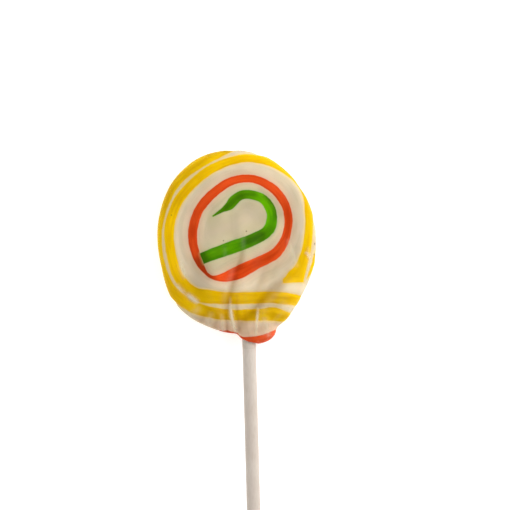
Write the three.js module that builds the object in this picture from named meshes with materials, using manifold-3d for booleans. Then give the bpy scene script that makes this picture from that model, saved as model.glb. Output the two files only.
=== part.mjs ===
// A swirl lollipop, lying on its back: a pressed disc of layered hard candy on a rolled-paper stick.
//
// The candy is one batch of pulled sugar. Its coloured layers were rolled up round a green hook, sliced and
// pressed, so every layer runs through the disc from face to face, and each one is a solid of its own.
//
// Millimetres, +Z up out of the shown face. The stick runs along -Y at x = 0, and z = 0 is the flat back.
import * as THREE from 'three';
import { mergeVertices } from 'three/addons/utils/BufferGeometryUtils.js';
import Module from 'manifold-3d';

const wasm = await Module();
wasm.setup();

// Driving dimensions.
const SEAM = 0.3; // gap kept between neighbouring solids
const HEAD = { width: 41.8, height: 48.4, thickness: 9, centre: new THREE.Vector2(-2.4, -0.1) };
const LIP = { width: 10.6, height: 9.8, thickness: 8.4, centre: new THREE.Vector2(2, -22.2) };
const STICK_DIAMETER = 3.6;
const STICK_LENGTH = 100;
const STICK_SUNK = 34; // how far the stick runs into the candy
const STICK_HEIGHT = 4.3; // of the stick's axis above the flat back
const STICK_TOP = LIP.centre.y - LIP.height / 2 + STICK_SUNK; // y of the sunk end

// The disc's outline is an ellipse with swellings where it was pressed harder: each one's bearing and
// half-width in degrees, and its rise as a share of the radius there.
const SWELLINGS = [
  { bearing: 132, spread: 32, rise: 0.049 },
  { bearing: -65, spread: 14, rise: 0.052 },
  { bearing: -138, spread: 16, rise: 0.036 },
];
// The higher the power, the flatter the faces and the tighter the turn of the rim.
const HEAD_RIM_POWER = 5;
const LIP_RIM_POWER = 3.2;
const LIP_CORNER_POWER = 2.5; // 2 makes the lip's outline an ellipse, more makes it squarer
const LIP_TURN = 12; // degrees that the lip is turned, so that it is fuller on one side of the stick
const BACK_PRESS = 1.12; // how much further the back would bulge if it had not been pressed flat

// The coloured layers, each a line through the disc and how wide the layer is along it: [x, y, width].
const LAYERS = {
  orange_ring: {
    colour: 0xdd4a1c,
    closed: true,
    line: [
      [-9.8, -8.9, 0.8], [-12.7, -4.8, 2], [-14.1, 1.5, 2.4], [-12.6, 8, 2.4], [-8.3, 13, 2.4],
      [-3.2, 16.1, 2.2], [2.4, 16.4, 2.1], [7.9, 13.3, 2.3], [11, 8, 2.2], [10.8, 2, 2.2],
      [8, -3, 2.8], [3, -5.6, 3], [-2.4, -8.1, 3.5], [-6.6, -9.3, 2.2],
    ],
  },
  green_hook: {
    colour: 0x4f9100,
    line: [
      [-8.8, 6.8, 0.4], [-6.3, 8.3, 1], [-4.1, 9.6, 2.4], [-3, 10.9, 2.6], [-1.1, 12.2, 2.4],
      [1.6, 12.3, 2.4], [4.9, 10.9, 2.5], [6.9, 7.3, 2.7], [6, 3, 3], [1.4, 0.3, 3.2],
      [-3.4, -1.3, 3.4], [-8, -2.8, 3.2], [-12.4, -4.4, 3],
    ],
  },
  yellow_inner_turn: {
    colour: 0xeabb05,
    line: [
      [12.3, -11.2, 5.4], [12.7, -9.9, 4.9], [13.5, -8.6, 3.9], [14.4, -6.8, 3], [15.2, -4.6, 2.6],
      [15.8, -2.8, 2.4], [16.5, 1.5, 2.2], [16.8, 6.5, 2.2], [15.7, 13.1, 1.8], [12, 17.7, 1.8],
      [7, 20.8, 2.2], [0.5, 22, 2.2], [-6, 20.5, 2.1], [-12.4, 16.7, 2.3], [-17.4, 11.4, 2.4],
      [-20, 4.5, 2.4], [-19.8, -3.2, 2.4], [-17.7, -9.3, 2.7], [-13.6, -13.5, 3], [-6, -14.7, 3.1],
      [4, -14.9, 3.1], [10.5, -15.2, 2.9], [16.5, -17.2, 2.8],
    ],
  },
  yellow_outer_turn: {
    colour: 0xe0ae07,
    line: [
      [-1, 25.8, 2], [-6, 24.4, 3.2], [-12, 21.7, 3.8], [-18.5, 17, 4], [-22.8, 9.8, 4],
      [-24.3, 2, 3.8], [-23.3, -5.4, 3], [-20.8, -11.4, 2.8], [-16.5, -15.9, 2.9], [-11, -18.2, 2.9],
      [-4, -19.3, 2.9], [4, -19.4, 3], [9.5, -20.2, 2.6], [14.5, -21.6, 2.2],
    ],
  },
  red_foot: {
    colour: 0xd84a26,
    line: [[-4.2, -25.6, 2.8], [-1.4, -27.2, 4.2], [3.4, -26.9, 4.2], [8.8, -24.6, 3.2]],
  },
};
// The white candy between them, from the innermost piece to the one at the stick.
const WHITES = ['white_core', 'white_ring', 'white_line', 'white_base'];
const CANDY_WHITE = 0xe6d6b8;
const STICK_WHITE = 0xe4dccd;

const HEAD_SIDES = 64;
const LIP_SIDES = 24;
const STICK_SIDES = 24;
const RIM_STEPS = [0, 0.55, 0.78, 0.9, 0.96, 0.99, 1]; // shares of the way from the middle to the rim
const LINE_STEPS = 4; // sections to each stretch between two of a layer's points
const CRUMB = 1; // mm³, too small to be a piece of candy

// How far the disc's edge is from its centre, at a bearing in radians.
function headRadius(bearing) {
  const [across, along] = [HEAD.width / 2, HEAD.height / 2];
  const ellipse = (across * along) / Math.hypot(along * Math.cos(bearing), across * Math.sin(bearing));
  return SWELLINGS.reduce((radius, swelling) => {
    const turn = bearing - THREE.MathUtils.degToRad(swelling.bearing);
    const off = Math.atan2(Math.sin(turn), Math.cos(turn)) / THREE.MathUtils.degToRad(swelling.spread);
    return radius + ellipse * swelling.rise * Math.exp(-(off ** 2));
  }, ellipse);
}

// The same for the lip of candy that was squeezed out round the stick.
function lipRadius(bearing) {
  const turned = bearing - THREE.MathUtils.degToRad(LIP_TURN);
  const across = Math.abs(Math.cos(turned) / (LIP.width / 2)) ** LIP_CORNER_POWER;
  const along = Math.abs(Math.sin(turned) / (LIP.height / 2)) ** LIP_CORNER_POWER;
  return (across + along) ** (-1 / LIP_CORNER_POWER);
}

// A lozenge pressed flat at the back: turned round its middle, then each point is pushed out to the outline.
function lozenge({ thickness, centre }, radius, rimPower, sides) {
  const crown = (share) => Math.sqrt(Math.max(0, 1 - share ** rimPower));
  const back = (share) => Math.max(0, STICK_HEIGHT * (1 - BACK_PRESS * crown(share)));
  const front = (share) => STICK_HEIGHT + (thickness - STICK_HEIGHT) * crown(share);
  const profile = [
    ...RIM_STEPS.map((share) => new THREE.Vector2(share, back(share))),
    ...RIM_STEPS.toReversed().slice(1).map((share) => new THREE.Vector2(share, front(share))),
  ];
  const geometry = new THREE.LatheGeometry(profile, sides).rotateX(Math.PI / 2);
  const places = geometry.getAttribute('position');
  for (let i = 0; i < places.count; i++) {
    const reach = radius(Math.atan2(places.getY(i), places.getX(i)));
    places.setX(i, centre.x + reach * places.getX(i));
    places.setY(i, centre.y + reach * places.getY(i));
  }
  return geometry;
}

// A layer as an upright slab taller than the disc, made wider all round by grow.
function slab({ line, closed = false }, grow) {
  const points = line.map((point) => new THREE.Vector3(...point)); // z holds the width
  const curve = new THREE.CatmullRomCurve3(points, closed, 'centripetal');
  const steps = LINE_STEPS * (closed ? line.length : line.length - 1);
  const sides = { left: [], right: [] };
  for (let i = 0; i < (closed ? steps : steps + 1); i++) {
    const at = curve.getPoint(i / steps);
    const ahead = curve.getTangent(i / steps).setZ(0).normalize();
    if (!closed && i === 0) at.addScaledVector(ahead, -grow);
    if (!closed && i === steps) at.addScaledVector(ahead, grow);
    const half = at.z / 2 + grow;
    sides.left.push(new THREE.Vector2(at.x - half * ahead.y, at.y + half * ahead.x));
    sides.right.push(new THREE.Vector2(at.x + half * ahead.y, at.y - half * ahead.x));
  }
  const back = sides.right.toReversed();
  const shape = new THREE.Shape(closed ? sides.left : [...sides.left, ...back]);
  if (closed) shape.holes.push(new THREE.Path(back));
  const depth = HEAD.thickness + 4;
  return solid(new THREE.ExtrudeGeometry(shape, { depth, bevelEnabled: false }).translate(0, 0, -2));
}

// A rod of the stick's line, running away from the given y.
function rod(diameter, top) {
  const upright = new THREE.CylinderGeometry(diameter / 2, diameter / 2, STICK_LENGTH, STICK_SIDES);
  return solid(upright.translate(0, top - STICK_LENGTH / 2, STICK_HEIGHT));
}

function solid(geometry) {
  geometry.deleteAttribute('normal');
  geometry.deleteAttribute('uv');
  const merged = mergeVertices(geometry, 1e-4);
  return new wasm.Manifold(new wasm.Mesh({
    numProp: 3,
    vertProperties: merged.getAttribute('position').array,
    triVerts: new Uint32Array(merged.index.array),
  }));
}

function node(name, body, colour, roughness) {
  const { vertProperties, triVerts } = body.getMesh();
  const geometry = new THREE.BufferGeometry();
  geometry.setAttribute('position', new THREE.BufferAttribute(vertProperties, 3));
  geometry.setIndex(new THREE.BufferAttribute(triVerts, 1));
  geometry.computeVertexNormals();
  const material = new THREE.MeshStandardMaterial({ color: colour, roughness, metalness: 0 });
  const mesh = new THREE.Mesh(geometry, material);
  mesh.name = name;
  return mesh;
}

const lollipop = new THREE.Group();

// The pressed candy, with the hole that its stick was pushed into.
const hole = rod(STICK_DIAMETER + 2 * SEAM, STICK_TOP + SEAM);
const disc = solid(lozenge(HEAD, headRadius, HEAD_RIM_POWER, HEAD_SIDES))
  .add(solid(lozenge(LIP, lipRadius, LIP_RIM_POWER, LIP_SIDES)))
  .subtract(hole);

// Each coloured layer is cut from what the layers before it have left of the disc.
let white = disc;
for (const [name, layer] of Object.entries(LAYERS)) {
  lollipop.add(node(name, white.intersect(slab(layer, -SEAM / 2)), layer.colour, 0.25));
  white = white.subtract(slab(layer, SEAM / 2));
}

const whites = white.decompose().filter((body) => body.volume() > CRUMB);
whites.sort((one, other) => other.boundingBox().min[1] - one.boundingBox().min[1]);
whites.forEach((body, i) => lollipop.add(node(WHITES[i], body, CANDY_WHITE, 0.3)));

lollipop.add(node('stick', rod(STICK_DIAMETER, STICK_TOP), STICK_WHITE, 0.8));

export default lollipop;
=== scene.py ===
# A swirl lollipop in clear film, lying face up: layered hard candy on a rolled-paper stick.
#
# Seen from above, X runs to the right and Y to the top of the head, and the stick runs along -Y at x = 0.
# What Blender is given is in metres. Shapes worked out from points on the candy are in millimetres.
import math

import bpy
import numpy as np
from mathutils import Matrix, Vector, noise


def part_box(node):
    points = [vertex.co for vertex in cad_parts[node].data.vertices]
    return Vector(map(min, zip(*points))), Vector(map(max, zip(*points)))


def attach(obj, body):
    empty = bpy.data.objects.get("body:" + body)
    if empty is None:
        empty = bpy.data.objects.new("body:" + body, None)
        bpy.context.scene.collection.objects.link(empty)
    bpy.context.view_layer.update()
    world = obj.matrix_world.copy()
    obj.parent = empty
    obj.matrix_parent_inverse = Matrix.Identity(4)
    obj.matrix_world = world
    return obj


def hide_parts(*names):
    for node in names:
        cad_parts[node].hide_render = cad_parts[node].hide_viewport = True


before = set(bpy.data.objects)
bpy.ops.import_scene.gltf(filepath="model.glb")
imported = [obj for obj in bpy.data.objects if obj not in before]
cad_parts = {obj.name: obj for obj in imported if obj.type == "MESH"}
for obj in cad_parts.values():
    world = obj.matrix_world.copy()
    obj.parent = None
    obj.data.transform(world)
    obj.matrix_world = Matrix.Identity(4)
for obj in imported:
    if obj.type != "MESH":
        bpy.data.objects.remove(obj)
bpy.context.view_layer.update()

bpy.ops.object.select_all(action="DESELECT")


# ---------------------------------------------------------------- the candy
# One piece of pulled sugar: white, yellow, orange and green layers rolled up together, sliced, and pressed
# warm round the stick, so that the layers are fused and the disc has a soft, slightly uneven skin.
coloured_layers = {
    "candy_green": ["green_hook"],
    "candy_orange": ["orange_ring", "red_foot"],
    "candy_yellow": ["yellow_inner_turn", "yellow_outer_turn"],
}
white_layers = ["white_core", "white_ring", "white_line", "white_base"]
every_layer = white_layers + [name for names in coloured_layers.values() for name in names]

for name in every_layer:
    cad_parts[name].select_set(True)
bpy.context.view_layer.objects.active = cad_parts["white_core"]
bpy.ops.object.duplicate()
bpy.ops.object.join()
candy = bpy.context.object


def name_afresh(copied, name):
    """Names a joined copy, and drops the marks of the nodes that it was copied from."""
    copied.name = name
    copied.data.name = name
    for key in list(copied.keys()):
        del copied[key]


name_afresh(candy, "candy")
bpy.ops.object.mode_set(mode="EDIT")
bpy.ops.mesh.select_all(action="SELECT")
bpy.ops.mesh.remove_doubles(threshold=1e-6)
bpy.ops.object.mode_set(mode="OBJECT")


def finish_modifier(piece, kind, **settings):
    """Adds a modifier with these settings and applies it at once."""
    modifier = piece.modifiers.new(kind.title(), kind)
    for name, value in settings.items():
        setattr(modifier, name, value)
    bpy.context.view_layer.objects.active = piece
    bpy.ops.object.modifier_apply(modifier=modifier.name)


# The solids swell until the seams between them close, become one skin, and are smoothed as if warm. That
# shrinks the skin a little, and the rest of the swelling is taken back.
swelling = 0.0003
taken_back = 0.0002
candy_voxel = 0.0003
finish_modifier(candy, "DISPLACE", strength=swelling, mid_level=0.0)
finish_modifier(candy, "REMESH", mode="VOXEL", voxel_size=candy_voxel)
finish_modifier(candy, "SMOOTH", factor=0.5, iterations=24)
finish_modifier(candy, "DISPLACE", strength=-taken_back, mid_level=0.0)

mm = 1000  # to the metre
stick_low, stick_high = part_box("stick")
stick_radius = (stick_high.x - stick_low.x) / 2
stick_middle = (stick_low + stick_high) / 2
axis_height = stick_middle.z * mm


def vertex_places(piece):
    """The piece's vertices in millimetres."""
    flat = np.empty(len(piece.data.vertices) * 3)
    piece.data.vertices.foreach_get("co", flat)
    return flat.reshape(-1, 3) * mm


def vertex_normals(piece):
    flat = np.empty(len(piece.data.vertices) * 3)
    piece.data.vertices.foreach_get("normal", flat)
    return flat.reshape(-1, 3)


def move_vertices(piece, places):
    piece.data.vertices.foreach_set("co", (places / mm).ravel())
    piece.data.update()


def store(piece, attribute, values):
    """Keeps one number for each vertex, for the material to read."""
    kept = piece.data.attributes.new(attribute, "FLOAT", "POINT")
    kept.data.foreach_set("value", np.asarray(values, dtype=np.float32))


def from_axis(places):
    """How far each place is from the stick's axis, in mm."""
    return np.hypot(places[:, 0], places[:, 2] - axis_height)


def layer_walls(node):
    """The upright walls of a layer as seen from above: start, end and outward direction of each, in mm."""
    hole_reach = stick_radius * mm + 0.4  # just past the wall of the stick's hole, which is no layer's edge
    most_lean = 2e-3  # an upright wall's normal is level to within this
    shortest = 1e-4
    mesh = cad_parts[node].data
    corners_of = np.array([v.co for v in mesh.vertices]) * mm
    starts, ends, outs = [], [], []
    for face in mesh.polygons:
        corners = corners_of[list(face.vertices)]
        if abs(face.normal.z) > most_lean or (from_axis(corners) < hole_reach).all():
            continue
        flat = corners[:, :2]
        lengths = [np.hypot(*(flat[i] - flat[i - 1])) for i in range(3)]
        longest = int(np.argmax(lengths))
        if lengths[longest] < shortest:
            continue
        starts.append(flat[longest])
        ends.append(flat[longest - 1])
        outs.append(np.array(face.normal)[:2] / np.hypot(face.normal.x, face.normal.y))
    return np.array(starts), np.array(ends), np.array(outs)


def depth_inside(node, places):
    """How far inside a layer's edge each place is, seen from above, in mm: negative outside it."""
    batch = 4000  # places at a time, to spare memory
    tie = 1e-7  # at a corner two walls are equally near, and the one that faces the place most is picked
    starts, ends, outs = layer_walls(node)
    along = ends - starts
    length2 = (along ** 2).sum(1)
    depth = np.empty(len(places))
    for first in range(0, len(places), batch):
        from_start = places[first:first + batch, None, :2] - starts
        share = np.clip((from_start * along).sum(2) / length2, 0, 1)
        gap = from_start - share[..., None] * along
        away = (gap ** 2).sum(2)
        side = (gap * outs).sum(2)
        nearest = away <= away.min(1)[:, None] + tie
        pick = np.where(nearest, np.abs(side), -1).argmax(1)
        rows = np.arange(len(gap))
        sign = np.where(side[rows, pick] > 0, -1, 1)
        depth[first:first + batch] = sign * np.sqrt(away[rows, pick])
    return depth


def off_line(line, places):
    """How far each place is from a line of points, seen from above, in mm, and how far along it, 0 to 1."""
    line = np.array(line, float)
    lengths = np.hypot(*np.diff(line, axis=0).T)
    starts_at = np.concatenate([[0], np.cumsum(lengths)])
    away = np.full(len(places), np.inf)
    reached = np.zeros(len(places))
    for start, end, length, passed in zip(line, line[1:], lengths, starts_at):
        step = end - start
        share = np.clip(((places[:, :2] - start) @ step) / length ** 2, 0, 1)
        gap = np.hypot(*(places[:, :2] - start - share[:, None] * step).T)
        nearer = gap < away
        away[nearer] = gap[nearer]
        reached[nearer] = (passed + share[nearer] * length) / starts_at[-1]
    return away, reached


def soft_marks(marks, places):
    """Adds up soft marks along lines: each one's strength, half-width in mm and points."""
    total = np.zeros(len(places))
    for strength, half_width, line in marks:
        away, _ = off_line(line, places)
        total += strength * np.exp(-(away / half_width) ** 2)
    return total


def soft_spot(middle, reach, places):
    """1 at a spot seen from above, dying away past its reach across and along, in mm."""
    return np.exp(-(((places[:, :2] - middle) / reach) ** 2).sum(1))


half_seam = 0.15
places = vertex_places(candy)
# The layers bow towards the head beside the deepest pucker.
bow = 0.4
bowed = places.copy()
bowed[:, 1] -= bow * soft_spot((6.2, -17.4), (1.8, 1.8), places)
node_depths = {
    node: depth_inside(node, bowed) + half_seam for nodes in coloured_layers.values() for node in nodes}

# The foot ends just past the stick, and a thread of its red runs on from there along the rim.
foot_starts = -3.2
well_outside = -3
red_half_width = 0.45
foot = np.where(places[:, 0] < foot_starts, well_outside, node_depths["red_foot"])
from_red_thread, _ = off_line([(-7.6, -23.7), (-5.5, -24), (foot_starts, -24.4)], places)
node_depths["red_foot"] = np.maximum(foot, red_half_width - from_red_thread)

# A sliver of yellow lies on the right of the rim, widest half way up it and pointed at both ends.
sliver_half_width = 0.6
sliver_height = 5.2
sliver_half_height = 4.4
from_sliver, along_sliver = off_line([(18, -3), (17.8, -6.2), (16.9, -8.2), (15.6, -10.6)], places)
up_sliver = (places[:, 2] - sliver_height) / sliver_half_height
sliver = sliver_half_width * np.sin(math.pi * along_sliver) * np.clip(1 - up_sliver ** 2, 0, 1) - from_sliver

# The inner turn starts with a cut square to the stick, its corner drawn out towards the middle, and is a
# little fuller on the inside of its last bend.
cut_y = -11.2
cut_depth = 1.2  # how far before the cut the layer is taken away
cut_left = 8
corner_left = 9.4
corner_right = 13
corner_tip = (9.2, -10.3)
corner_slant = (0.66, -0.75)
fuller_by = 0.5
above_cut = places[:, 1] - cut_y
beside_slant = (places[:, :2] - corner_tip) @ corner_slant
corner = np.min([above_cut, beside_slant, places[:, 0] - corner_left, corner_right - places[:, 0]], 0)
inner_turn = np.maximum(node_depths["yellow_inner_turn"], corner)
inner_turn += fuller_by * soft_spot((-10.6, -12.4), (2.4, 1.2), places)
near_cut = (places[:, 0] > cut_left) & (above_cut > -cut_depth)
inner_turn = np.where(near_cut, np.minimum(inner_turn, above_cut), inner_turn)
node_depths["yellow_inner_turn"] = inner_turn

# On the left the two yellow turns lean towards each other, with only a thread of white between them. They
# come closer again beside the pucker.
lean = 0.24
lean_reach = 1.5
lean_starts = -3
lean_full = -6
nearer_by = 0.55
outer_turn = node_depths["yellow_outer_turn"]
near_both = np.clip(lean_reach + np.minimum(inner_turn, outer_turn), 0, 1)
on_left = np.clip((lean_starts - places[:, 0]) / (lean_starts - lean_full), 0, 1)
outer_turn = np.max([inner_turn, outer_turn, sliver], 0) + lean * near_both * on_left
outer_turn += nearer_by * soft_spot((8.6, -17.8), (3.2, 1.6), places)
node_depths["yellow_outer_turn"] = outer_turn
depths = {
    attribute: np.max([node_depths[node] for node in nodes], 0)
    for attribute, nodes in coloured_layers.items()}


def unevenness(places, wave, start=(0, 0, 0)):
    """Soft noise at each place, from about -1 to 1, its waves about as long as given, in mm."""
    return np.array([noise.noise(Vector(p) / wave + Vector(start)) for p in places])


# Dents and swellings of the pressed face: over the sunk stick, and where it puckered near the stick. Each
# has its height, its half-width and its points, in mm.
front_relief = [
    (0.14, 1.7, [(-0.9, 7.5), (-0.9, 0), (-1.2, -6)]),
    (-0.12, 2.4, [(2.6, 8.8), (4.2, 7.2)]),
    (-0.42, 1.3, [(10.2, -9), (6.4, -12.5), (3.5, -15.7), (1, -18.9), (-1.6, -21.6)]),
    (-0.16, 0.9, [(-1.4, -3.5), (-2.6, -7), (-3.8, -11), (-5.6, -17.8)]),
    (0.10, 0.9, [(0.4, -4), (-0.6, -8), (-1.8, -12), (-3, -16)]),
    (0.16, 1.4, [(-8.5, -13.5), (-7.5, -19)]),
    (-0.25, 0.6, [(-5.6, -20.6), (-5.6, -24)]),
    (-0.20, 0.6, [(-10.2, -20.2), (-10.8, -22.6)]),
    (-0.18, 0.9, [(-17.2, -11.5), (-15.2, -14.6)]),
    (-0.16, 1.2, [(12.6, -2.5), (13, -6)]),
]
# Fine grooves where layers meet, coloured layers a trace proud, and a gentle unevenness all over.
groove_depth = 0.06
groove_half_width = 0.28
colour_rise = 0.05
rise_width = 0.6
swell_height, swell_length = 0.17, 7.5
ripple_height, ripple_length = 0.051, 2.6
normals = vertex_normals(candy)
nearest_edge = np.min([np.abs(depth) for depth in depths.values()], 0)
inside_colour = np.clip(np.max(list(depths.values()), 0) / rise_width, 0, 1)
lift = colour_rise * inside_colour - groove_depth * np.exp(-(nearest_edge / groove_half_width) ** 2)
lift += swell_height * unevenness(places, swell_length)
lift += ripple_height * unevenness(places, ripple_length, (9, 4, 2))
facing_up = np.clip(normals[:, 2] * 2, 0, 1)
lift += facing_up * soft_marks(front_relief, places)
# The hole for the stick keeps its shape, and the back lies flat, with room for the film under it.
hole_clear = 2.4
hole_margin = 1.5
film_room = 0.09
lift *= np.clip((from_axis(places) - hole_clear) / hole_margin, 0, 1)
places += lift[:, None] * normals
places[:, 2] = np.maximum(places[:, 2], film_room)
move_vertices(candy, places)
bpy.ops.object.shade_smooth()

for attribute, depth in depths.items():
    store(candy, attribute, depth)

# Where the green took more colour, and where the rest did, with painted shade and painted light mixed in,
# such as the darkened top rim and the lightened left rim: how much, half-width and points. Below zero a mark
# pales, where the sugar was worked thinner and where light is painted in.
deeper_green_and_painted_shading = [
    (1.00, 0.80, [(5.6, 12), (7.8, 9.4), (8.4, 6)]),
    (0.85, 1.6, [(-7.4, 7.2), (-4.2, 9.8), (-2, 11.4)]),
    (0.70, 1.4, [(-0.4, 12.4), (2, 12.6)]),
    (0.95, 1.5, [(-12, -2.6), (-11.4, -6.2)]),
    (0.90, 1.6, [(0.6, 0.2), (3.8, 1.2)]),
    (0.35, 1.2, [(3.8, 1.2), (6.4, 3.2)]),
    (0.35, 1.4, [(-9.8, -4.2), (-7.4, -3)]),
    (-0.60, 1.0, [(4.6, 9.8), (6, 7.2), (5.2, 4.4)]),
    (0.18, 4.0, [(-12, -4.4), (1.4, 0.5)]),
]
deeper_sugar_and_painted_shading = [
    (0.50, 1.0, [(-12.7, -4.6), (-9.8, -9)]),
    (0.16, 1.5, [(10.6, 9.5), (11.4, 2), (8, -3), (3, -5.6)]),
    (0.12, 1.5, [(-14.1, 3), (-12.4, 8), (-9, 12.4)]),
    (0.26, 2.2, [(1.2, 9), (4.2, 6.4)]),
    (0.20, 1.2, [(-2.7, 6.8), (-2.7, 1.2)]),
    (0.22, 2.0, [(-8, 9), (-9.4, 4), (-10.8, -2.4)]),
    (0.26, 1.0, [(4.2, 13.6), (7.8, 11), (9.4, 7)]),
    (-0.16, 1.2, [(8.8, 3.6), (8, 0.6)]),
    (0.44, 3.0, [(-12.6, -6), (-12.4, -12)]),
    (0.20, 2.4, [(-13, -14), (-10.4, -18.4)]),
    (-0.24, 2.0, [(-19.2, 6), (-18.8, -7)]),
    (0.14, 1.4, [(-13.6, 8), (-13.8, 2), (-12.4, -3)]),
    (0.16, 1.5, [(-10.5, -14.4), (-6, -14.8), (3, -15), (9.5, -15.2)]),
    (0.16, 1.5, [(-13, -17.6), (-4, -19.4), (1, -19.6)]),
    (0.32, 1.6, [(2, -19.6), (9, -20.2)]),
    (0.30, 2.4, [(12.6, 12), (14.4, 4)]),
    (0.18, 2.4, [(13.4, 0), (13.2, -6)]),
    (0.22, 2.6, [(-11.5, 21.6), (-18.5, 17), (-22.6, 10)]),
    (0.36, 1.2, [(-9, 23.6), (-5, 24.4)]),
    (0.56, 1.0, [(-5, 24.8), (0, 24.6)]),
    (0.14, 2.4, [(-3, 14), (-1, 9.4)]),
    (0.14, 1.3, [(-13.4, -20), (-9.4, -22.8), (-6, -23.6)]),
    (-0.24, 1.8, [(0.5, -10.8), (4.5, -10.6)]),
    (-0.18, 2.0, [(-7, -11.8), (-1, -11.4)]),
    (-0.40, 1.2, [(-7, -9.3), (-2.4, -8.4)]),
    (-0.14, 1.3, [(-4, 15.9), (2.6, 16.3)]),
    (0.25, 0.9, [(3.4, -17), (8.4, -17.2)]),
    (-0.20, 1.2, [(-1, 23.4), (5, 22.6)]),
    (0.16, 1.4, [(3.6, -23), (7, -21.8)]),
    (-0.40, 1.5, [(11, -12.6), (14.8, -12.8)]),
    (-0.22, 1.1, [(9.4, -17.3), (12, -18)]),
]
store(candy, "deeper_green_and_painted_shading", soft_marks(deeper_green_and_painted_shading, places))
store(candy, "deeper_sugar_and_painted_shading", soft_marks(deeper_sugar_and_painted_shading, places))


def give_material(name, piece):
    """Gives a piece its material, and hands back what that is wired with."""
    material = bpy.data.materials.new(name)
    material.use_nodes = True
    piece.data.materials.clear()
    piece.data.materials.append(material)
    tree = material.node_tree
    place = tree.nodes.new("ShaderNodeTexCoord").outputs["Object"]
    return tree.nodes, tree.links, tree.nodes["Principled BSDF"], place


nodes, links, shader, object_place = give_material("pulled_sugar", candy)
shader.inputs["Specular IOR Level"].default_value = 0.03
shader.inputs["Subsurface Weight"].default_value = 0.25
shader.inputs["Subsurface Radius"].default_value = (1.0, 0.6, 0.3)
shader.inputs["Subsurface Scale"].default_value = 0.0005


def linear(red, green, blue):
    """A colour as it is mixed in the material, from its usual 0 to 255 values."""
    parts = [value / 255 for value in (red, green, blue)]
    return [((part + 0.055) / 1.055) ** 2.4 if part > 0.04045 else part / 12.92 for part in parts] + [1]


def wire(value, socket):
    """Links a socket, or sets a plain value."""
    if isinstance(value, bpy.types.NodeSocket):
        links.new(value, socket)
    else:
        socket.default_value = value


def blend_colour(share, first, second, blend="MIX"):
    """Mixes two colours. The node's colour sockets share their names with others, so they go by number."""
    mix = nodes.new("ShaderNodeMix")
    mix.data_type = "RGBA"
    mix.blend_type = blend
    for socket, value in ((0, share), (6, first), (7, second)):
        wire(value, mix.inputs[socket])
    return mix.outputs[2]


def ramp(value, low, high, to_low=0.0, to_high=1.0, smooth=True):
    """Goes from one number to another while the value goes from low to high, and stays there past them."""
    reach = nodes.new("ShaderNodeMapRange")
    reach.interpolation_type = "SMOOTHSTEP" if smooth else "LINEAR"
    links.new(value, reach.inputs["Value"])
    for title, number in zip(("From Min", "From Max", "To Min", "To Max"), (low, high, to_low, to_high)):
        reach.inputs[title].default_value = number
    return reach.outputs["Result"]


def maths(operation, *values):
    made = nodes.new("ShaderNodeMath")
    made.operation = operation
    for socket, value in zip(made.inputs, values):
        wire(value, socket)
    return made.outputs["Value"]


def vector_maths(operation, *values):
    made = nodes.new("ShaderNodeVectorMath")
    made.operation = operation
    for socket, value in zip(made.inputs, values):
        wire(value, socket)
    return made.outputs["Value" if operation == "DISTANCE" else "Vector"]


def axes(vector):
    apart = nodes.new("ShaderNodeSeparateXYZ")
    links.new(vector, apart.inputs["Vector"])
    return apart.outputs


def attribute(name):
    made = nodes.new("ShaderNodeAttribute")
    made.attribute_name = name
    return made.outputs["Fac"]


# Soft mottling between two values, which the candy, the paper and the film all show.
mottling = bpy.data.node_groups.new("mottling", "ShaderNodeTree")
for title, kind in (("Place", "NodeSocketVector"), ("Waves per unit", "NodeSocketFloat"),
                    ("From", "NodeSocketFloat"), ("To", "NodeSocketFloat")):
    mottling.interface.new_socket(title, in_out="INPUT", socket_type=kind)
mottling.interface.new_socket("Value", in_out="OUTPUT", socket_type="NodeSocketFloat")
taken = mottling.nodes.new("NodeGroupInput")
given = mottling.nodes.new("NodeGroupOutput")
soft = mottling.nodes.new("ShaderNodeTexNoise")
soft.inputs["Detail"].default_value = 3
spread = mottling.nodes.new("ShaderNodeMapRange")
spread.interpolation_type = "SMOOTHSTEP"
spread.inputs["From Min"].default_value = 0.3
spread.inputs["From Max"].default_value = 0.7
mottling.links.new(taken.outputs["Place"], soft.inputs["Vector"])
mottling.links.new(taken.outputs["Waves per unit"], soft.inputs["Scale"])
mottling.links.new(soft.outputs["Fac"], spread.inputs["Value"])
mottling.links.new(taken.outputs["From"], spread.inputs["To Min"])
mottling.links.new(taken.outputs["To"], spread.inputs["To Max"])
mottling.links.new(spread.outputs["Result"], given.inputs["Value"])


def mottled(waves, low=0.0, high=1.0, vector=None):
    """Mottling between two numbers, at a place on the piece unless another vector is given."""
    made = nodes.new("ShaderNodeGroup")
    made.node_tree = mottling
    links.new(vector or object_place, made.inputs["Place"])
    for title, number in (("Waves per unit", waves), ("From", low), ("To", high)):
        made.inputs[title].default_value = number
    return made.outputs["Value"]


def pulled_streaks(depth, fineness):
    """Streaks that run along a layer: slow changes along it, quick ones from its edge inwards."""
    waves_along = 110
    stretched = nodes.new("ShaderNodeCombineXYZ")
    for axis in ("X", "Y"):
        links.new(maths("MULTIPLY", axes(object_place)[axis], waves_along), stretched.inputs[axis])
    links.new(maths("MULTIPLY", depth, fineness), stretched.inputs["Z"])
    return mottled(1, vector=stretched.outputs["Vector"])


def deepen(colour, strength):
    """Multiplies a colour down where its strength is above zero, and up a little where it is below."""
    palest, deepest = 1.22, 0.45
    return blend_colour(1.0, colour, ramp(strength, -0.4, 1.0, palest, deepest, smooth=False), "MULTIPLY")


# The white is mottled, and streaked least in the innermost piece, which was folded rather than pulled.
white = blend_colour(mottled(140), linear(215, 198, 167), linear(223, 205, 176))
white_streaks = pulled_streaks(attribute("candy_orange"), 0.8)
streakiness = maths(
    "MULTIPLY", ramp(white_streaks, 0.2, 1), ramp(attribute("candy_orange"), -6, -2.5, 0.2, 0.6))
white = blend_colour(streakiness, white, linear(204, 187, 156))
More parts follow.
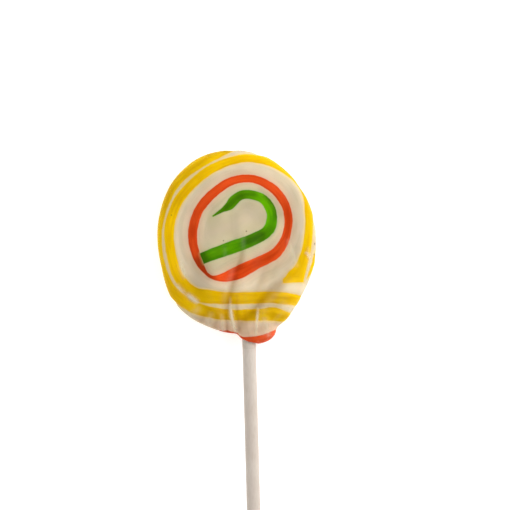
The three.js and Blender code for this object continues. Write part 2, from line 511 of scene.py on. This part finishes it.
# It takes a tinge from the green and the orange beside it, and from the red at the stick.
green_tinge = linear(170, 182, 110)
red_tinge = linear(228, 172, 140)
white = blend_colour(ramp(attribute("candy_green"), -4.5, 0, 0, 0.2), white, green_tinge)
white = blend_colour(ramp(attribute("candy_orange"), -2.4, 0, 0, 0.25), white, red_tinge)
white = blend_colour(ramp(axes(object_place)["Y"], -0.0175, -0.0225, 0, 0.3), white, red_tinge)
# The white is deepened and paled by those marks: partly its own colour, partly painted shade and painted
# light.
colour = deepen(white, attribute("deeper_sugar_and_painted_shading"))

# Each colour's deep and bright streaks, what it bleeds into the white just outside it, and how much.
finishes = {
    "candy_yellow": (linear(222, 172, 0), linear(242, 196, 0), linear(238, 206, 112), 0.5),
    "candy_orange": (linear(206, 64, 12), linear(230, 82, 28), linear(232, 184, 150), 0.25),
    "candy_green": (linear(76, 147, 0), linear(100, 170, 0), linear(176, 188, 120), 0.25),
}
bleeding_width = 0.8
edge_softness = 0.12
edge_wander = 0.05
wander = mottled(450, -edge_wander, edge_wander)
for name, (deep, bright, bled, bleeding) in finishes.items():
    depth = attribute(name)
    edge = maths("ADD", depth, wander)
    colour = blend_colour(ramp(edge, -bleeding_width, 0, 0, bleeding), colour, bled)
    own = blend_colour(pulled_streaks(depth, 1.1), deep, bright)
    # Each colour is deepened and paled by its marks too, the same mix of its own colour and painted shade
    # and light.
    own = deepen(own, attribute("deeper_green_and_painted_shading" if name == "candy_green" else "deeper_sugar_and_painted_shading"))
    colour = blend_colour(ramp(edge, -edge_softness, edge_softness), colour, own)

# Specks of burnt sugar in the skin: place seen from above, and radius, in mm.
specks = [
    (0.1, 2.7, 0.32), (1, 3.1, 0.26), (-6, 0.4, 0.28),
    (-19.5, 7.5, 0.28), (18.1, -1.1, 0.5), (17.9, -3.9, 0.4),
]
burnt = linear(70, 62, 30)
most_burnt = 0.85
upper_skin = places[facing_up > 0]
place_in_mm = vector_maths("MULTIPLY", object_place, (mm, mm, mm))
for x, y, radius in specks:
    nearest = np.hypot(upper_skin[:, 0] - x, upper_skin[:, 1] - y).argmin()
    from_speck = vector_maths("DISTANCE", place_in_mm, (x, y, upper_skin[nearest, 2]))
    colour = blend_colour(ramp(from_speck, 0, radius, most_burnt, 0), colour, burnt)
links.new(colour, shader.inputs["Base Color"])
links.new(mottled(900, 0.4, 0.52), shader.inputs["Roughness"])

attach(candy, "root")
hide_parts(*every_layer)


# ---------------------------------------------------------------- the stick
# A sheet of white paper rolled tight and glued into a straight stick, sunk deep into the candy. Its turns
# show as rings at the cut ends, and the paper's last edge makes a low step along it.
paper_step = 0.00007
edge_bearing = math.radians(205)
thinner_for = 1.2  # radians past the paper's edge
rolled_turns = 12
turn_width = 0.00013
turn_step = 0.00003
crushed_rim = 0.00006
bore_depth = 0.0004
bpy.ops.object.select_all(action="DESELECT")
bpy.ops.mesh.primitive_cylinder_add(
    vertices=96, radius=stick_radius, depth=stick_high.y - stick_low.y, end_fill_type="NGON",
    location=stick_middle, rotation=(math.pi / 2, 0, 0))
stick = bpy.context.object
stick.name = "paper_stick"
bpy.ops.object.transform_apply(location=True, rotation=True, scale=True)

# Each cut end is inset turn by turn, every second turn a little lower, inside a slightly crushed rim. A
# fine bore is left at the middle.
bpy.ops.object.mode_set(mode="EDIT")
for side in (-1, 1):
    bpy.ops.mesh.select_mode(type="FACE")
    bpy.ops.mesh.select_all(action="DESELECT")
    bpy.ops.object.mode_set(mode="OBJECT")
    for face in stick.data.polygons:
        face.select = face.normal.y * side > 0.9
    bpy.ops.object.mode_set(mode="EDIT")
    bpy.ops.mesh.inset(thickness=crushed_rim, depth=0.00005)
    for turn in range(rolled_turns):
        bpy.ops.mesh.inset(thickness=turn_width, depth=-turn_step if turn % 2 else turn_step)
    bpy.ops.mesh.inset(thickness=0.00005, depth=-bore_depth)
bpy.ops.object.mode_set(mode="OBJECT")


def round_axis(places):
    """Each place's bearing round the stick's axis, in radians."""
    return np.arctan2(places[:, 2] - axis_height, places[:, 0])


# The paper's outer edge: from there round, the roll is one thickness of paper thinner, and it swells back.
places = vertex_places(stick)
past_edge = (round_axis(places) - edge_bearing) % (2 * math.pi)
thinner = 1 - paper_step / stick_radius * (1 - np.clip(past_edge / thinner_for, 0, 1))
places[:, 0] *= thinner
places[:, 2] = axis_height + (places[:, 2] - axis_height) * thinner
move_vertices(stick, places)
bpy.ops.object.shade_smooth_by_angle(angle=math.radians(40))

nodes, links, shader, object_place = give_material("rolled_paper", stick)
shader.inputs["Specular IOR Level"].default_value = 0.25
# Fine fibres lie along the stick, over wide bands that are a little darker or lighter.
fibres = mottled(1, vector=vector_maths("MULTIPLY", object_place, (4200, 500, 4200)))
bands = mottled(1, vector=vector_maths("MULTIPLY", object_place, (60, 110, 60)))
colour = blend_colour(bands, linear(204, 191, 179), linear(211, 200, 188))
colour = blend_colour(ramp(fibres, 0.3, 1, 0, 0.3), colour, linear(190, 174, 158))
links.new(colour, shader.inputs["Base Color"])
links.new(ramp(fibres, 0, 1, 0.5, 0.62), shader.inputs["Roughness"])
bump = nodes.new("ShaderNodeBump")
bump.inputs["Strength"].default_value = 0.15
bump.inputs["Distance"].default_value = 0.00004
links.new(fibres, bump.inputs["Height"])
links.new(bump.outputs["Normal"], shader.inputs["Normal"])

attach(stick, "root")
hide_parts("stick")


# ---------------------------------------------------------------- the film
# Thin clear film drawn tight over the whole candy and gathered round the stick just below it. It bridges
# the fine grooves, and its folds fan out over the face from where it is gathered.
neck_length = 0.0012
film_gap = 0.00009
film_thickness = 0.00003
film_voxel = 0.0004
foot_end = min(corner.y for name in every_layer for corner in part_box(name))
neck_end = foot_end - neck_length

# It is shaped over a copy of the candy, with a plug a little thicker than the stick in the candy's hole.
bpy.ops.object.select_all(action="DESELECT")
candy.select_set(True)
bpy.context.view_layer.objects.active = candy
bpy.ops.object.duplicate()
film = bpy.context.object
bpy.ops.object.select_all(action="DESELECT")
plug_radius = stick_radius + 0.0001
plug_top = stick_high.y + 0.0006
plug_end = neck_end - 0.003
bpy.ops.mesh.primitive_cylinder_add(
    vertices=48, radius=plug_radius, depth=plug_top - plug_end,
    location=(stick_middle.x, (plug_top + plug_end) / 2, stick_middle.z), rotation=(math.pi / 2, 0, 0))
film.select_set(True)
bpy.context.view_layer.objects.active = film
bpy.ops.object.join()
name_afresh(film, "clear_film")
for spare in [kept.name for kept in film.data.attributes if kept.name.startswith(("candy_", "deeper_"))]:
    film.data.attributes.remove(film.data.attributes[spare])
finish_modifier(film, "REMESH", mode="VOXEL", voxel_size=film_voxel)
finish_modifier(film, "SMOOTH", factor=0.5, iterations=11)
finish_modifier(film, "DISPLACE", strength=film_gap, mid_level=0.0)

# Its neck is cut open across the stick.
bpy.ops.object.mode_set(mode="EDIT")
bpy.ops.mesh.select_all(action="SELECT")
bpy.ops.mesh.bisect(plane_co=(0, neck_end, 0), plane_no=(0, -1, 0), clear_outer=True)
bpy.ops.object.mode_set(mode="OBJECT")

# Folds on the face: height and half-width in mm, how much painted shade darkens what is under them, how much
# painted glint whitens it, and points.
folds = [
    (0.05, 0.80, 0.24, 0.00, [
        (-0.8, 0.6), (-1.5, -4.5), (-2.5, -7.4), (-3.8, -11), (-4.9, -14.9), (-5.6, -18), (-6.2, -22)]),
    (0.05, 0.42, 0.16, 0.00, [(-2.9, -13.5), (-2.9, -18.4), (-2.2, -25)]),
    (0.07, 1.15, 0.26, 0.00, [
        (10.6, -8.8), (9.2, -10.6), (6.4, -12.8), (3.5, -15.7), (1, -18.9), (-1.6, -20.8), (-2.8, -24.6)]),
    (0.06, 0.36, 0.22, 0.00, [(-5.8, -18.8), (-5.6, -25.4)]),
    (0.04, 1.30, 0.08, 0.00, [(11.8, -3.4), (10.4, -5.2), (8, -7.2), (5, -9.6), (3, -11.6)]),
    (0.04, 0.80, 0.10, 0.00, [(5.2, -6), (3.4, -10.4), (1.2, -16)]),
    (0.04, 0.90, 0.06, 0.00, [(5.6, -20.6), (7.4, -16.8), (12.4, -14.6)]),
    (0.05, 0.60, 0.12, 0.00, [(-8, -18.6), (-9.2, -24.6)]),
    (0.05, 0.60, 0.12, 0.00, [(-10.6, -17.6), (-13.6, -22.4)]),
    (0.05, 0.90, 0.00, 0.04, [(12, -9.6), (8.2, -13.1), (5.4, -16.3), (3, -20.2)]),
    (0.04, 0.60, 0.00, 0.03, [(-0.7, 3), (-0.9, -3)]),
    (0.05, 0.80, 0.00, 0.04, [(-3, -4.4), (-4.4, -9), (-6, -14), (-6.8, -18.6)]),
    (0.05, 0.30, 0.00, 0.18, [(-4.7, -14.2), (-4.5, -18.4), (-4.1, -22)]),
    (0.07, 0.42, 0.00, 0.40, [(-4.9, -16), (-4.3, -20.4), (-3.2, -24.6)]),
    (0.07, 0.30, 0.00, 0.38, [(2.7, -17.2), (2.2, -21.5), (1.8, -25.2)]),
    (0.06, 0.60, 0.00, 0.16, [(11, 0.6), (12, -3), (13.1, -7.4)]),
    (0.06, 0.40, 0.00, 0.12, [(16.2, -1.6), (16.6, -5.4), (15.6, -9.6)]),
    (0.05, 0.32, 0.00, 0.28, [(15.2, -3.2), (16, -3.6), (16.6, -5)]),
    (0.06, 0.55, 0.00, 0.50, [(-16.2, -13.2), (-14.6, -14.6), (-12.9, -15.9)]),
    (0.05, 0.65, 0.00, 0.34, [(-17.4, -4.9), (-16.9, -7), (-16, -9.4)]),
    (0.06, 0.50, 0.00, 0.22, [(-18.8, -10.4), (-17.7, -12), (-16, -13.6)]),
    (0.06, 0.50, 0.00, 0.12, [(-7.1, -18.6), (-6.6, -24.6)]),
    (0.04, 0.50, 0.00, 0.02, [(-5.8, -0.4), (-5.5, -6.6)]),
    (0.06, 0.70, 0.00, 0.16, [(4, -19.8), (5.4, -25.6)]),
    (0.05, 0.70, 0.00, 0.14, [(8, -16.6), (12.6, -18.6)]),
    (0.05, 0.80, 0.00, 0.08, [(-9.6, -18), (-11, -23.6)]),
    (0.05, 0.80, 0.00, 0.08, [(-12.4, -16.6), (-15.6, -19.6)]),
]


def crease(line, half_width, places):
    """A fold's section: a soft-topped ridge that dies away towards both ends of its line."""
    roundness = 1.8  # 2 would be a bell, and less is sharper on top
    bluntness = 0.7  # less dies away nearer the ends
    away, reached = off_line(line, places)
    return np.exp(-(away / half_width) ** roundness) * np.sin(math.pi * reached) ** bluntness


# The film's mesh is made finer on the face wherever it folds, and a little beyond each fold.
beyond_fold = 1.8
least_crease = 0.1
places = vertex_places(film)
creased = np.max([crease(line, beyond_fold * width, places) for _, width, _, _, line in folds], 0)
near_fold = (creased > least_crease) & (places[:, 2] > axis_height)
for face in film.data.polygons:
    face.select = bool(near_fold[list(face.vertices)].any())
bpy.ops.object.mode_set(mode="EDIT")
bpy.ops.mesh.subdivide(number_cuts=1)
bpy.ops.object.mode_set(mode="OBJECT")

places = vertex_places(film)
normals = vertex_normals(film)
on_face = np.clip(normals[:, 2] * 2, 0, 1)
fold_lift = np.zeros(len(places))
fold_painted_shade = np.zeros(len(places))
fold_painted_glint = np.zeros(len(places))
for height, half_width, shade, painted_glint, line in folds:
    section = crease(line, half_width, places)
    fold_lift += height * section
    fold_painted_shade += shade * section
    fold_painted_glint += painted_glint * section

# Finer wrinkles that fan out from the gathered end and die away up the face, with painted shade in their
# hollows and painted glints on their tops.
wrinkles_across = 7  # to a radian of the fan
wrinkle_length = 9
wrinkles_reach = 26
wrinkle_height = 0.05
wrinkle_painted_shade = 0.15
wrinkle_painted_glint = 0.03
gathered_at = (0.6, foot_end * mm)
out_x, out_y = (places[:, :2] - gathered_at).T
fan = np.arctan2(out_x, out_y)
out = np.hypot(out_x, out_y)
spread_out = np.stack([wrinkles_across * fan, out / wrinkle_length, np.full(len(out), 5)], 1)
wrinkle = unevenness(spread_out, 1) * np.clip(1.25 - out / wrinkles_reach, 0, 1)
fold_lift += wrinkle_height * wrinkle
fold_painted_shade += wrinkle_painted_shade * np.clip(-wrinkle, 0, 1)
fold_painted_glint += wrinkle_painted_glint * np.clip(wrinkle, 0, 1)

# Pleats where it is gathered: strongest on the stick, and running out over the foot, with painted shade
# between them and painted glints on them.
pleats = 9
pleat_height = 0.1
pleat_painted_shade = 0.03
pleat_painted_glint = 0.02
pleats_start = 2.2  # this far up from the foot's end
pleats_grow_for = 2.4
around = round_axis(places)
pleat = 0.5 + 0.5 * np.sin(pleats * around + 1.3 * np.sin(2 * around))
down_neck = np.clip((foot_end * mm + pleats_start - places[:, 1]) / pleats_grow_for, 0, 1)
fold_painted_shade = fold_painted_shade * on_face + pleat_painted_shade * down_neck * (1 - pleat)
fold_painted_glint = fold_painted_glint * on_face + pleat_painted_glint * down_neck * pleat

# It is slack and a little crumpled all over, more so on the rim, and most where the rim was pinched.
crumple_height = 0.07
pinch_height = 0.3
crumple_length = 1.9
off_rim = 0.35  # the share of it away from the rim
pinches = [
    (1.0, 2.2, [(18.4, -1.5), (17.4, -8.5)]),
    (0.7, 2.0, [(-20.5, -10), (-14, -17.5)]),
]
rim = 1 - np.abs(normals[:, 2])
crumpled = crumple_height + pinch_height * soft_marks(pinches, places)
slack = crumpled * (off_rim + rim) * unevenness(places, crumple_length, (3, 8, 1))

lift = fold_lift * on_face + pleat_height * pleat * down_neck + slack
places += lift[:, None] * normals
above_sheet = film_thickness * mm + 0.01
places[:, 2] = np.maximum(places[:, 2], above_sheet)
move_vertices(film, places)
store(film, "fold_painted_shade", np.clip(fold_painted_shade, 0, 1))
store(film, "fold_painted_glint", np.clip(fold_painted_glint, 0, 1))
finish_modifier(film, "SOLIDIFY", thickness=film_thickness, offset=1.0)
bpy.ops.object.shade_smooth()

nodes, links, shader, object_place = give_material("clear_film", film)
see_through = nodes.new("ShaderNodeBsdfTransparent")
# Painted shade: along folds, wrinkles and pleats the film lets less through, darkening what is under it.
painted_shade_tint = blend_colour(attribute("fold_painted_shade"), linear(255, 255, 255), linear(206, 190, 166))
links.new(painted_shade_tint, see_through.inputs["Color"])
# What it does not let through, it mirrors or scatters as a thin white haze.
shader.inputs["Base Color"].default_value = linear(255, 247, 216)
shader.inputs["Metallic"].default_value = 0.05
links.new(mottled(600, 0.12, 0.22), shader.inputs["Roughness"])
# It does little of either face on and more at a slant, the same from either side of so thin a sheet.
face_on = 0.0005
edge_on = 0.09
slant = nodes.new("ShaderNodeLayerWeight")
slant.inputs["Blend"].default_value = 0.5
covering = maths("ADD", maths("MULTIPLY", maths("POWER", slant.outputs["Facing"], 4), edge_on), face_on)
# Painted glints: along folds, wrinkles and pleats the white haze is thickened to stand in for glints.
covering = maths("ADD", attribute("fold_painted_glint"), covering)
sheet_of_film = nodes.new("ShaderNodeMixShader")
links.new(covering, sheet_of_film.inputs[0])
links.new(see_through.outputs[0], sheet_of_film.inputs[1])
links.new(shader.outputs[0], sheet_of_film.inputs[2])
links.new(sheet_of_film.outputs[0], nodes["Material Output"].inputs["Surface"])

# It has no node of its own, and so it replaces nothing and has no slot.
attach(film, "root")


# ---------------------------------------------------------------- the set
# A white sheet under the lollipop, lit so brightly that shadows on it hardly show, two soft lights above it
# to the right and the left, and a camera straight above.
bpy.ops.object.select_all(action="DESELECT")
bpy.ops.mesh.primitive_plane_add(size=3, location=(0, 0, 0))
sheet = bpy.context.object
sheet.name = "pale_sheet"
pale = bpy.data.materials.new("pale_sheet")
pale.use_nodes = True
pale_shader = pale.node_tree.nodes["Principled BSDF"]
pale_shader.inputs["Base Color"].default_value = (0.9, 0.9, 0.9, 1)
pale_shader.inputs["Roughness"].default_value = 0.9
pale_shader.inputs["Specular IOR Level"].default_value = 0.1
pale_shader.inputs["Emission Color"].default_value = (1, 1, 1, 1)
pale_shader.inputs["Emission Strength"].default_value = 0.55
sheet.data.materials.append(pale)

world = bpy.data.worlds.new("studio")
bpy.context.scene.world = world
world.use_nodes = True
nodes = world.node_tree.nodes
links = world.node_tree.links
# The room is bright all round, most on the right, and dark straight overhead, where the camera hangs.
direction = axes(nodes.new("ShaderNodeTexCoord").outputs["Generated"])
overhead = ramp(direction["Z"], 0.66, 0.96, 1, 0.08)
to_right = ramp(direction["X"], -0.8, 0.8, 0.74, 1.26)
to_head = ramp(direction["Y"], -0.8, 0.8, 0.85, 1.05)
strength = maths("MULTIPLY", maths("MULTIPLY", overhead, to_right), to_head)
links.new(strength, nodes["Background"].inputs["Strength"])
nodes["Background"].inputs["Color"].default_value = (1, 1, 1, 1)


def soft_light(name, place, size, power):
    """A square soft light, aimed at the middle of the candy."""
    data = bpy.data.lights.new(name, "AREA")
    data.shape = "SQUARE"
    data.size = size
    data.energy = power
    lamp = bpy.data.objects.new(name, data)
    bpy.context.scene.collection.objects.link(lamp)
    lamp.location = place
    lamp.rotation_euler = (-Vector(place)).to_track_quat("-Z", "Y").to_euler()


soft_light("softbox_right", (0.44, 0.24, 0.46), 0.25, 1.6)
soft_light("softbox_left", (-0.26, 0.22, 0.60), 0.4, 0.7)

# The camera hangs a little to the right of the stick, and is turned a little.
view_width = 0.1347
view_middle = (0.0022, -0.0036)
view_level = 0.006  # the height at which the view is this wide
camera_height = 0.75
camera_turn = -0.0273
sensor_width = 36
camera_data = bpy.data.cameras.new("camera")
camera_data.sensor_width = sensor_width
camera_data.lens = sensor_width * (camera_height - view_level) / view_width
camera_data.clip_start = 0.01
camera_data.clip_end = 10
camera = bpy.data.objects.new("camera", camera_data)
bpy.context.scene.collection.objects.link(camera)
camera.location = (*view_middle, camera_height)
camera.rotation_euler = (0, 0, camera_turn)
bpy.context.scene.camera = camera
bpy.context.scene.view_settings.view_transform = "Standard"
